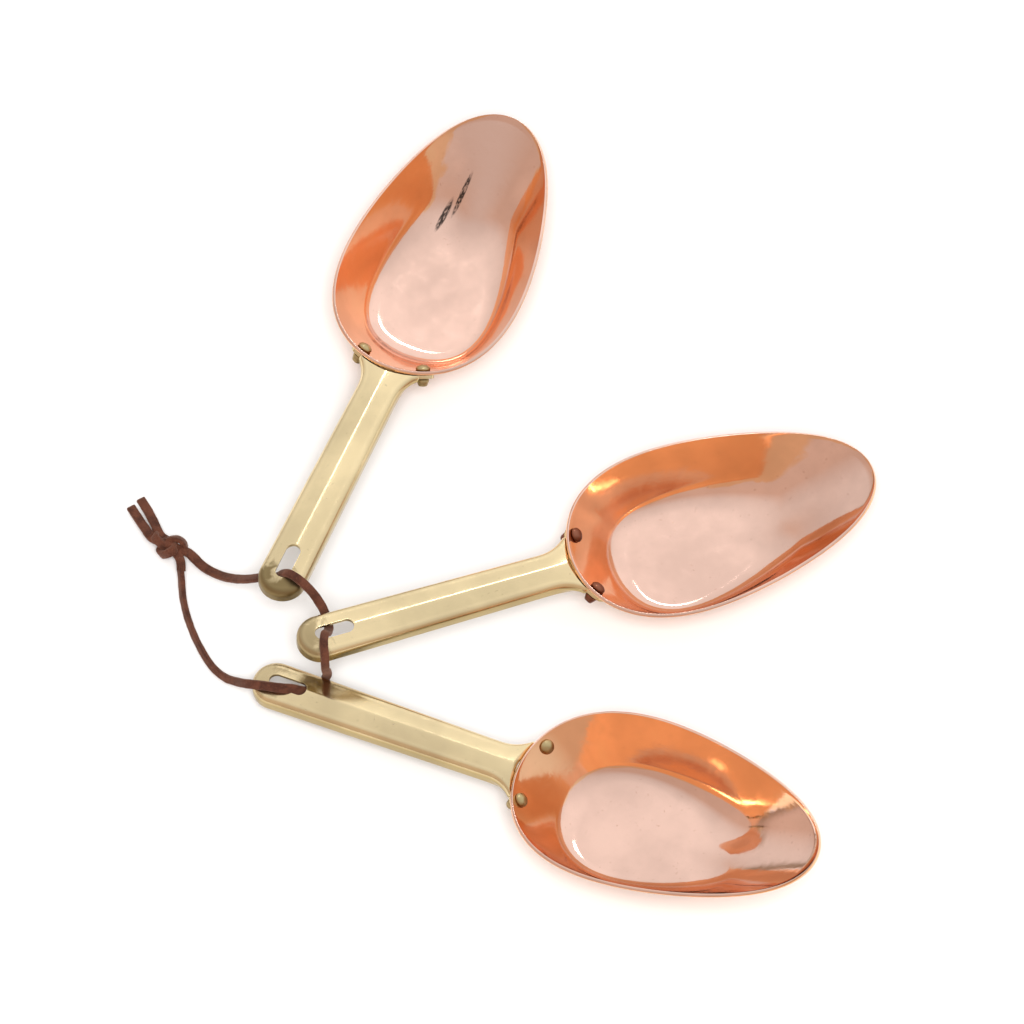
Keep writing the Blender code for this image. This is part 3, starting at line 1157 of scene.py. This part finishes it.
@dataclass(frozen=True)
class Scoop:
    """One scoop: a bowl, a handle and two rivets, carried to its place on the table.

    The heading and the tilt back are in degrees. The hinge, where the lace goes through the slot,
    is this far along the handle from its free end.
    """

    name: str
    number: int
    heading: float
    tilt: float
    lace_at: float
    rivets: MetalFinish
    tarnish: float
    marks: tuple[Mark, ...] = ()

    def place(self, handle: Handle) -> Matrix:
        """Finds the scoop's frame on the table, from its hinge.

        Args:
            handle: The scoop's handle, on its bowl.

        Returns:
            The frame, at the height that rests the bowl on the table.
        """
        joint = next(j for j in frame["joints"] if j["child"] == self.name)
        hinge_in_scoop = handle.frame() @ Vector((self.lace_at - handle.length, 0, 0))
        turn = Matrix.Rotation(math.radians(self.heading), 4, "Z")
        turn = turn @ Matrix.Rotation(-math.radians(self.tilt), 4, "Y")
        low = min((turn @ corner).z for corner in self.bowl_foot(handle.bowl))
        hinge = Vector(joint["pos_m"])
        hinge.z = (turn @ hinge_in_scoop).z - low
        return Matrix.Translation(hinge) @ turn @ Matrix.Translation(-hinge_in_scoop)

    @staticmethod
    def bowl_foot(bowl: Bowl) -> list[Vector]:
        """Gives points under the bowl's smooth outer face.

        Args:
            bowl: The bowl.

        Returns:
            The points, in the scoop's frame.
        """
        form = bowl.form
        angles = np.linspace(0, FULL_TURN, 64, endpoint=False)
        return [
            form.smooth_point(angle, share) - form.normal(angle, share) * form.wall
            for angle in angles
            for share in (1, 1.5, 1.8, 2)
        ]

    def settle(
        self,
        obj: bpy.types.Object,
        place: Matrix,
        finish: MetalFinish,
        marks: Sequence[Mark] = (),
    ) -> None:
        """Keeps a piece's own coordinates for its finish, and carries it to the table.

        Args:
            obj: The piece, in the scoop's frame.
            place: The scoop's frame on the table.
            finish: What it is finished in.
            marks: Its scuffs.
        """
        mesh = obj.data
        coords = np.empty(len(mesh.vertices) * 3, np.float32)
        mesh.vertices.foreach_get("co", coords)
        form = mesh.attributes.new("form", "FLOAT_VECTOR", "POINT")
        form.data.foreach_set("vector", coords)
        # The upward share of the normals steers each finish's painted light: its flat and sloped
        # tones.
        normals = np.empty_like(coords)
        mesh.vertex_normals.foreach_get("vector", normals)
        upward = mesh.attributes.new("upward", "FLOAT", "POINT")
        upward.data.foreach_set("value", np.ascontiguousarray(normals[2::3]))
        mesh.transform(place)
        mesh.materials.clear()
        mesh.materials.append(finish.make(self.number, self.tarnish, marks))
        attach(obj, self.name)
        log.info("%s: %d faces", obj.name, len(mesh.polygons))

    def build(self) -> None:
        """Makes the scoop's pieces."""
        bowl = Bowl(BowlForm(seed=self.number))
        handle = Handle(bowl)
        place = self.place(handle)

        shell = new_object(f"copper_bowl_{self.number}", bowl.mesh())
        self.settle(shell, place, COPPER, self.marks)
        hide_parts(f"{self.name}_bowl")

        grip = handle.build(f"brass_handle_{self.number}")
        self.settle(grip, place, BRASS)
        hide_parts(f"{self.name}_handle")

        rivet = Rivet()
        for side in Side:
            label = side.name.lower()
            mesh = rivet.mesh(self.number + 0.37 * side.value)
            matrix = bowl.rivet_place(side, rivet.spacing, rivet.drop)
            bmesh.ops.transform(mesh, matrix=matrix, verts=mesh.verts)
            stud = new_object(f"rivet_{self.number}_{label}", mesh)
            self.settle(stud, place, self.rivets)
            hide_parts(f"{self.name}_rivet_{label}")


# ---------------------------------------------------------------- lace


def route_curve(route: Sequence[Place], steps: int = 12) -> np.ndarray:
    """Gives points along a centripetal Catmull-Rom curve.

    Args:
        route: The points that it goes through.
        steps: How many points it has from one of them to the next.

    Returns:
        The points, one a row.
    """
    points = [Vector(point) for point in route]
    points = [2 * points[0] - points[1], *points, 2 * points[-1] - points[-2]]
    curve = []
    for a, b, c, d in zip(points, points[1:], points[2:], points[3:]):
        knots = [0.0]
        for start, end in ((a, b), (b, c), (c, d)):
            knots.append(knots[-1] + math.sqrt((end - start).length))
        for at in np.linspace(knots[1], knots[2], steps, endpoint=False):
            ab = a.lerp(b, at / knots[1])
            bc = b.lerp(c, (at - knots[1]) / (knots[2] - knots[1]))
            cd = c.lerp(d, (at - knots[2]) / (knots[3] - knots[2]))
            abc = ab.lerp(bc, at / knots[2])
            bcd = bc.lerp(cd, (at - knots[1]) / (knots[3] - knots[1]))
            curve.append(abc.lerp(bcd, (at - knots[1]) / (knots[2] - knots[1])))
    return np.array([*curve, points[-2]])


def even_points(curve: np.ndarray, count: int) -> list[Vector]:
    """Gives points along a curve, the same length apart.

    Args:
        curve: The curve's own points, one a row.
        count: How many there are.

    Returns:
        The points.
    """
    steps = np.linalg.norm(np.diff(curve, axis=0), axis=1)
    reached = np.concatenate([[0.0], np.cumsum(steps)])
    places = np.linspace(0, reached[-1], count)
    columns = [np.interp(places, reached, curve[:, axis]) for axis in range(3)]
    return [Vector(point) for point in np.stack(columns, axis=1)]


@dataclass(frozen=True)
class Strip:
    """Flat leather lace, swept along a line."""

    width: float = 0.0030
    thickness: float = 0.0016
    corner: float = 0.00045
    corner_steps: int = 3
    waver: float = 0.00010
    waver_size: float = 0.0021

    def outline(self) -> list[tuple[float, float]]:
        """Draws the cross-section.

        Returns:
            Pairs of distance across and up.
        """
        points = []
        for quarter in range(4):
            right = 1 if quarter in (0, 3) else -1
            upper = 1 if quarter in (0, 1) else -1
            x = right * (self.width / 2 - self.corner)
            y = upper * (self.thickness / 2 - self.corner)
            start = quarter * QUARTER_TURN
            for turn in np.linspace(start, start + QUARTER_TURN, self.corner_steps + 1):
                points.append((x + self.corner * math.cos(turn), y + self.corner * math.sin(turn)))
        return points

    def sweep(
        self, line: Sequence[Vector], ups: Sequence[Vector], widths: Sequence[float] = (1.0, 1.0)
    ) -> bmesh.types.BMesh:
        """Sweeps the cross-section.

        Args:
            line: The points of the middle of the lace.
            ups: The direction off its flat face, at each of them.
            widths: Shares of the full width, at even places along the line.

        Returns:
            The closed mesh.
        """
        rings = []
        outline = self.outline()
        places = np.linspace(0, len(widths) - 1, len(line))
        shares = np.interp(places, range(len(widths)), widths)
        for index, (point, up, share) in enumerate(zip(line, ups, shares)):
            ahead = line[min(index + 1, len(line) - 1)] - line[max(index - 1, 0)]
            ahead.normalize()
            across = ahead.cross(up).normalized()
            off = across.cross(ahead).normalized()
            points = []
            for x, y in outline:
                place = point + across * x * share + off * y
                rough = noise.noise_vector(place / self.waver_size) * self.waver
                points.append(place + rough)
            rings.append(points)
        return loft(rings)


def carried_ups(line: Sequence[Vector], first: Vector) -> list[Vector]:
    """Carries a direction along a line without twisting it round the line.

    Args:
        line: The points of the line.
        first: The direction at its start.

    Returns:
        The direction at each point.
    """
    ups = [first.normalized()]
    for index in range(1, len(line)):
        before = line[index] - line[index - 1]
        after = line[min(index + 1, len(line) - 1)] - line[index]
        if after.length < WELD:
            after = before
        turn = before.normalized().rotation_difference(after.normalized())
        ups.append((turn @ ups[-1]).normalized())
    return ups


@dataclass(frozen=True)
class Lace:
    """The lace that ties the scoops together: a loop, a tied knot and two loose tails.

    The widths are shares of the full width, at even places along the loop.
    """

    strip: Strip = field(default_factory=Strip)
    body: str = "tie"
    points: int = 260
    tail_points: int = 26
    widths: tuple[float, ...] = (1, 1, 1.05, 0.9, 1, 0.95, 0.9, 1, 1.05, 1, 0.85, 0.75, 0.8, 0.95)
    route: tuple[Place, ...] = (
        (-0.1217, -0.0094, 0.0032), (-0.1168, -0.0147, 0.0036), (-0.1119, -0.0184, 0.0051),
        (-0.1072, -0.0215, 0.0083), (-0.1029, -0.0241, 0.0127), (-0.0981, -0.0259, 0.0170),
        (-0.0933, -0.0276, 0.0206), (-0.0907, -0.0284, 0.0244), (-0.0884, -0.0299, 0.0270),
        (-0.0851, -0.0321, 0.0266), (-0.0815, -0.0345, 0.0237), (-0.0784, -0.0375, 0.0200),
        (-0.0765, -0.0412, 0.0180), (-0.0758, -0.0452, 0.0189), (-0.0761, -0.0487, 0.0222),
        (-0.0769, -0.0513, 0.0259), (-0.0772, -0.0551, 0.0270), (-0.0769, -0.0586, 0.0259),
        (-0.0768, -0.0604, 0.0224), (-0.0767, -0.0596, 0.0173), (-0.0764, -0.0574, 0.0114),
        (-0.0766, -0.0566, 0.0071), (-0.0783, -0.0578, 0.0044), (-0.0809, -0.0601, 0.0048),
        (-0.0840, -0.0622, 0.0076), (-0.0872, -0.0633, 0.0111), (-0.0916, -0.0636, 0.0125),
        (-0.0968, -0.0625, 0.0119), (-0.1017, -0.0608, 0.0099), (-0.1053, -0.0580, 0.0060),
        (-0.1093, -0.0549, 0.0030), (-0.1133, -0.0508, 0.0021), (-0.1167, -0.0452, 0.0020),
        (-0.1196, -0.0387, 0.0014), (-0.1219, -0.0320, 0.0015), (-0.1234, -0.0253, 0.0015),
        (-0.1241, -0.0183, 0.0022), (-0.1247, -0.0114, 0.0031),
    )
    tails: tuple[tuple[Place, ...], ...] = (
        (
            (-0.1341, -0.0036, 0.0035), (-0.1363, 0.0001, 0.0030), (-0.1386, 0.0042, 0.0022),
            (-0.1410, 0.0084, 0.0017),
        ),
        (
            (-0.1317, -0.0021, 0.0037), (-0.1333, 0.0019, 0.0032), (-0.1353, 0.0064, 0.0026),
            (-0.1378, 0.0111, 0.0022),
        ),
    )
    knot_centre: Place = (-0.1284, -0.0066, 0.0035)
    knot_size: Place = (0.0057, 0.0036, 0.0017)
    knot_heading: float = math.radians(-22)
    knot_lift: float = 0.0006
    knot_points: int = 150
    core: Place = (0.0040, 0.0023, 0.0020)
    sleeve: Strip = field(default_factory=lambda: Strip(width=0.00295, thickness=0.00155))
    sleeve_start: float = 0.3
    sleeve_points: int = 60
    reach: float = 0.0042

    def dress(self, obj: bpy.types.Object, node: str) -> None:
        """Finishes a piece of the lace and puts it in place of its solid.

        Args:
            obj: The piece.
            node: The name of the solid.
        """
        obj.data.materials.append(LEATHER.make())
        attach(obj, self.body)
        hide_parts(node)
        log.info("%s: %d faces", obj.name, len(obj.data.polygons))

    def knot(self) -> bmesh.types.BMesh:
        """Ties an overhand knot, pulled tight round a core, with four strands that run into it.

        Returns:
            The mesh.
        """
        centre = Vector(self.knot_centre)
        turn = Matrix.Rotation(self.knot_heading, 3, "Z")
        long, wide, high = self.knot_size
        line = []
        for t in np.linspace(0, FULL_TURN, self.knot_points):
            x = (math.sin(t) + 2 * math.sin(2 * t)) / 3
            y = (math.cos(t) - 2 * math.cos(2 * t)) / 3
            line.append(centre + turn @ Vector((long * x, wide * y, -high * math.sin(3 * t))))
        lift = Vector((0, 0, self.knot_lift))
        ups = [(point - centre + lift).normalized() for point in line]
        bm = self.strip.sweep(line, ups)
        core = bmesh.ops.create_uvsphere(bm, u_segments=32, v_segments=16, radius=1.0)["verts"]
        bmesh.ops.scale(bm, verts=core, vec=self.core)
        bmesh.ops.rotate(bm, verts=core, matrix=turn)
        bmesh.ops.translate(bm, verts=core, vec=centre)
        strands = (self.route[:3], self.route[:-4:-1], self.tails[0][:3], self.tails[1][:3])
        for strand in strands:
            start = Vector(strand[0])
            inside = centre.lerp(start, self.sleeve_start)
            points = even_points(route_curve((tuple(inside), *strand)), self.sleeve_points)
            points = [point for point in points if (point - start).length < self.reach]
            sleeve = self.sleeve.sweep(points, carried_ups(points, Vector((0, 0, 1))))
            piece = bpy.data.meshes.new("strand")
            sleeve.to_mesh(piece)
            sleeve.free()
            bm.from_mesh(piece)
            bpy.data.meshes.remove(piece)
        return bm

    def build(self) -> None:
        line = even_points(route_curve(self.route), self.points)
        ups = carried_ups(line, Vector((0, 0, 1)))
        loop = new_object("lace_strip", self.strip.sweep(line, ups, self.widths))
        self.dress(loop, "lace_loop")

        for index, route in enumerate(self.tails):
            points = even_points(route_curve(route), self.tail_points)
            tail = self.strip.sweep(points, carried_ups(points, Vector((0, 0, 1))))
            piece = new_object(f"lace_end_{index + 1}", tail)
            self.dress(piece, f"lace_tail_{index + 1}")
        knot = new_object("lace_overhand_knot", self.knot())
        self.dress(knot, "lace_knot")
        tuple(self.route[0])


# ---------------------------------------------------------------- studio


@dataclass(frozen=True)
class Studio:
    """The camera, the white table and the soft lights.

    The room's tones go from the front to the bright side. The far edge's tones dim them from the
    horizon up, and the lean tips that horizon towards the front.
    """

    target: Place = (-0.0171, -0.0038, 0.0207)
    elevation: float = math.radians(61)
    distance: float = 2.86
    lens: float = 311.7
    table_side: float = 6.0
    bright_side: Place = (0.38, 0.66, 0.60)
    room: tuple[tuple[float, Colour], ...] = (
        (0.0, (0.64, 0.51, 0.43)),
        (0.30, (0.74, 0.71, 0.69)),
        (0.62, (0.84, 0.83, 0.82)),
        (0.90, (1.0, 0.99, 0.98)),
    )
    far_edge: tuple[tuple[float, Colour], ...] = (
        (0.0, (0.42, 0.36, 0.28)),
        (0.03, (0.75, 0.72, 0.68)),
        (0.06, (1.0, 1.0, 1.0)),
    )
    edge_lean: float = -0.05
    window_place: Place = (0.2, 1.45, 1.86)
    window_size: tuple[float, float] = (0.42, 0.20)
    window_power: float = 3.0
    key_place: Place = (0.0, -1.3, 2.3)
    key_size: tuple[float, float] = (1.2, 1.2)
    key_power: float = 62.0

    def camera(self) -> None:
        """Stands the camera on the front side, looking down along +Y."""
        data = bpy.data.cameras.new("camera")
        data.lens = self.lens
        data.sensor_width = 36.0
        data.clip_end = 50.0
        camera = bpy.data.objects.new("camera", data)
        bpy.context.scene.collection.objects.link(camera)
        back = Vector((0, -math.cos(self.elevation), math.sin(self.elevation)))
        camera.location = Vector(self.target) + back * self.distance
        camera.rotation_euler = (QUARTER_TURN - self.elevation, 0, 0)
        bpy.context.scene.camera = camera

    def table(self) -> None:
        """Lays the white table under the scoops."""
        bm = bmesh.new()
        bmesh.ops.create_grid(bm, x_segments=2, y_segments=2, size=self.table_side / 2)
        table = new_object("white_table", bm)
        table.data.materials.append(FloorFinish().make())

    def softbox(
        self, name: str, place: Place, size: tuple[float, float], power: float
    ) -> bpy.types.Object:
        """Hangs a rectangular soft light that faces the scoops.

        Args:
            name: The light's name.
            place: Where it hangs.
            size: Its two sides.
            power: Its power in watts.

        Returns:
            The light.
        """
        data = bpy.data.lights.new(name, "AREA")
        data.shape = "RECTANGLE"
        data.size, data.size_y = size
        data.energy = power
        light = bpy.data.objects.new(name, data)
        bpy.context.scene.collection.objects.link(light)
        light.location = place
        light.rotation_euler = (-Vector(place)).to_track_quat("-Z", "Y").to_euler()
        return light

    def sky(self) -> None:
        """Puts a bright wall behind the table, a dimmer one in front and a darker far edge."""
        world = bpy.data.worlds.new("room")
        world.use_nodes = True
        bpy.context.scene.world = world
        nodes, links = world.node_tree.nodes, world.node_tree.links

        def ramp(value: Any, stops: Sequence[tuple[float, Colour]]) -> Any:
            """Adds a ramp.

            Args:
                value: The socket that it reads.
                stops: Its places and colours.

            Returns:
                Its colour socket.
            """
            node = nodes.new("ShaderNodeValToRGB")
            elements = node.color_ramp.elements
            while len(elements) < len(stops):
                elements.new(0.5)
            for element, (place, colour) in zip(elements, stops):
                element.position = place
                element.color = (*colour, 1)
            links.new(value, node.inputs["Fac"])
            return node.outputs["Color"]

        coords = nodes.new("ShaderNodeTexCoord").outputs["Generated"]
        towards = nodes.new("ShaderNodeVectorMath")
        towards.operation = "DOT_PRODUCT"
        towards.inputs[1].default_value = self.bright_side
        links.new(coords, towards.inputs[0])
        split = nodes.new("ShaderNodeSeparateXYZ")
        links.new(coords, split.inputs["Vector"])
        edge = nodes.new("ShaderNodeMath")
        edge.operation = "MULTIPLY_ADD"
        edge.inputs[1].default_value = self.edge_lean
        links.new(split.outputs["Y"], edge.inputs[0])
        links.new(split.outputs["Z"], edge.inputs[2])
        wall = ramp(towards.outputs["Value"], self.room)
        shade = ramp(edge.outputs["Value"], self.far_edge)
        both = nodes.new("ShaderNodeMix")
        both.data_type = "RGBA"
        both.blend_type = "MULTIPLY"
        both.inputs[0].default_value = 1.0
        links.new(wall, both.inputs[6])
        links.new(shade, both.inputs[7])
        links.new(both.outputs[2], nodes["Background"].inputs["Color"])

    def lights(self) -> None:
        """Lights the room."""
        self.sky()
        window = self.softbox("window", self.window_place, self.window_size, self.window_power)
        window.visible_diffuse = False
        key = self.softbox("key", self.key_place, self.key_size, self.key_power)
        key.visible_glossy = False
        bpy.context.scene.view_settings.view_transform = "Standard"
        bpy.context.scene.view_settings.look = "None"


SCOOPS = (
    Scoop(
        name="scoop_1",
        number=1,
        heading=67.1,
        tilt=0.0,
        lace_at=0.0082,
        rivets=RIVET_BRASS,
        tarnish=0.9,
        marks=(
            Mark(0.0685, 0.0098, 0.014, 0.0024, math.radians(-8)),
            Mark(0.0763, 0.0065, 0.017, 0.0020, math.radians(-6)),
        ),
    ),
    Scoop(
        name="scoop_2",
        number=2,
        heading=19.5,
        tilt=0.0,
        lace_at=0.0092,
        rivets=RIVET_BRONZE,
        tarnish=0.6,
    ),
    Scoop(
        name="scoop_3",
        number=3,
        heading=-23.6,
        tilt=8.0,
        lace_at=0.0166,
        rivets=RIVET_BRASS,
        tarnish=0.3,
    ),
)


def main() -> None:
    """Builds the studio, the lace and the scoops in turn."""
    noise.seed_set(NOISE_SEED)
    studio = Studio()
    studio.camera()
    Lace().build()
    for scoop in SCOOPS:
        scoop.build()
    studio.table()
    studio.lights()


if __name__ == "__main__":
    main()
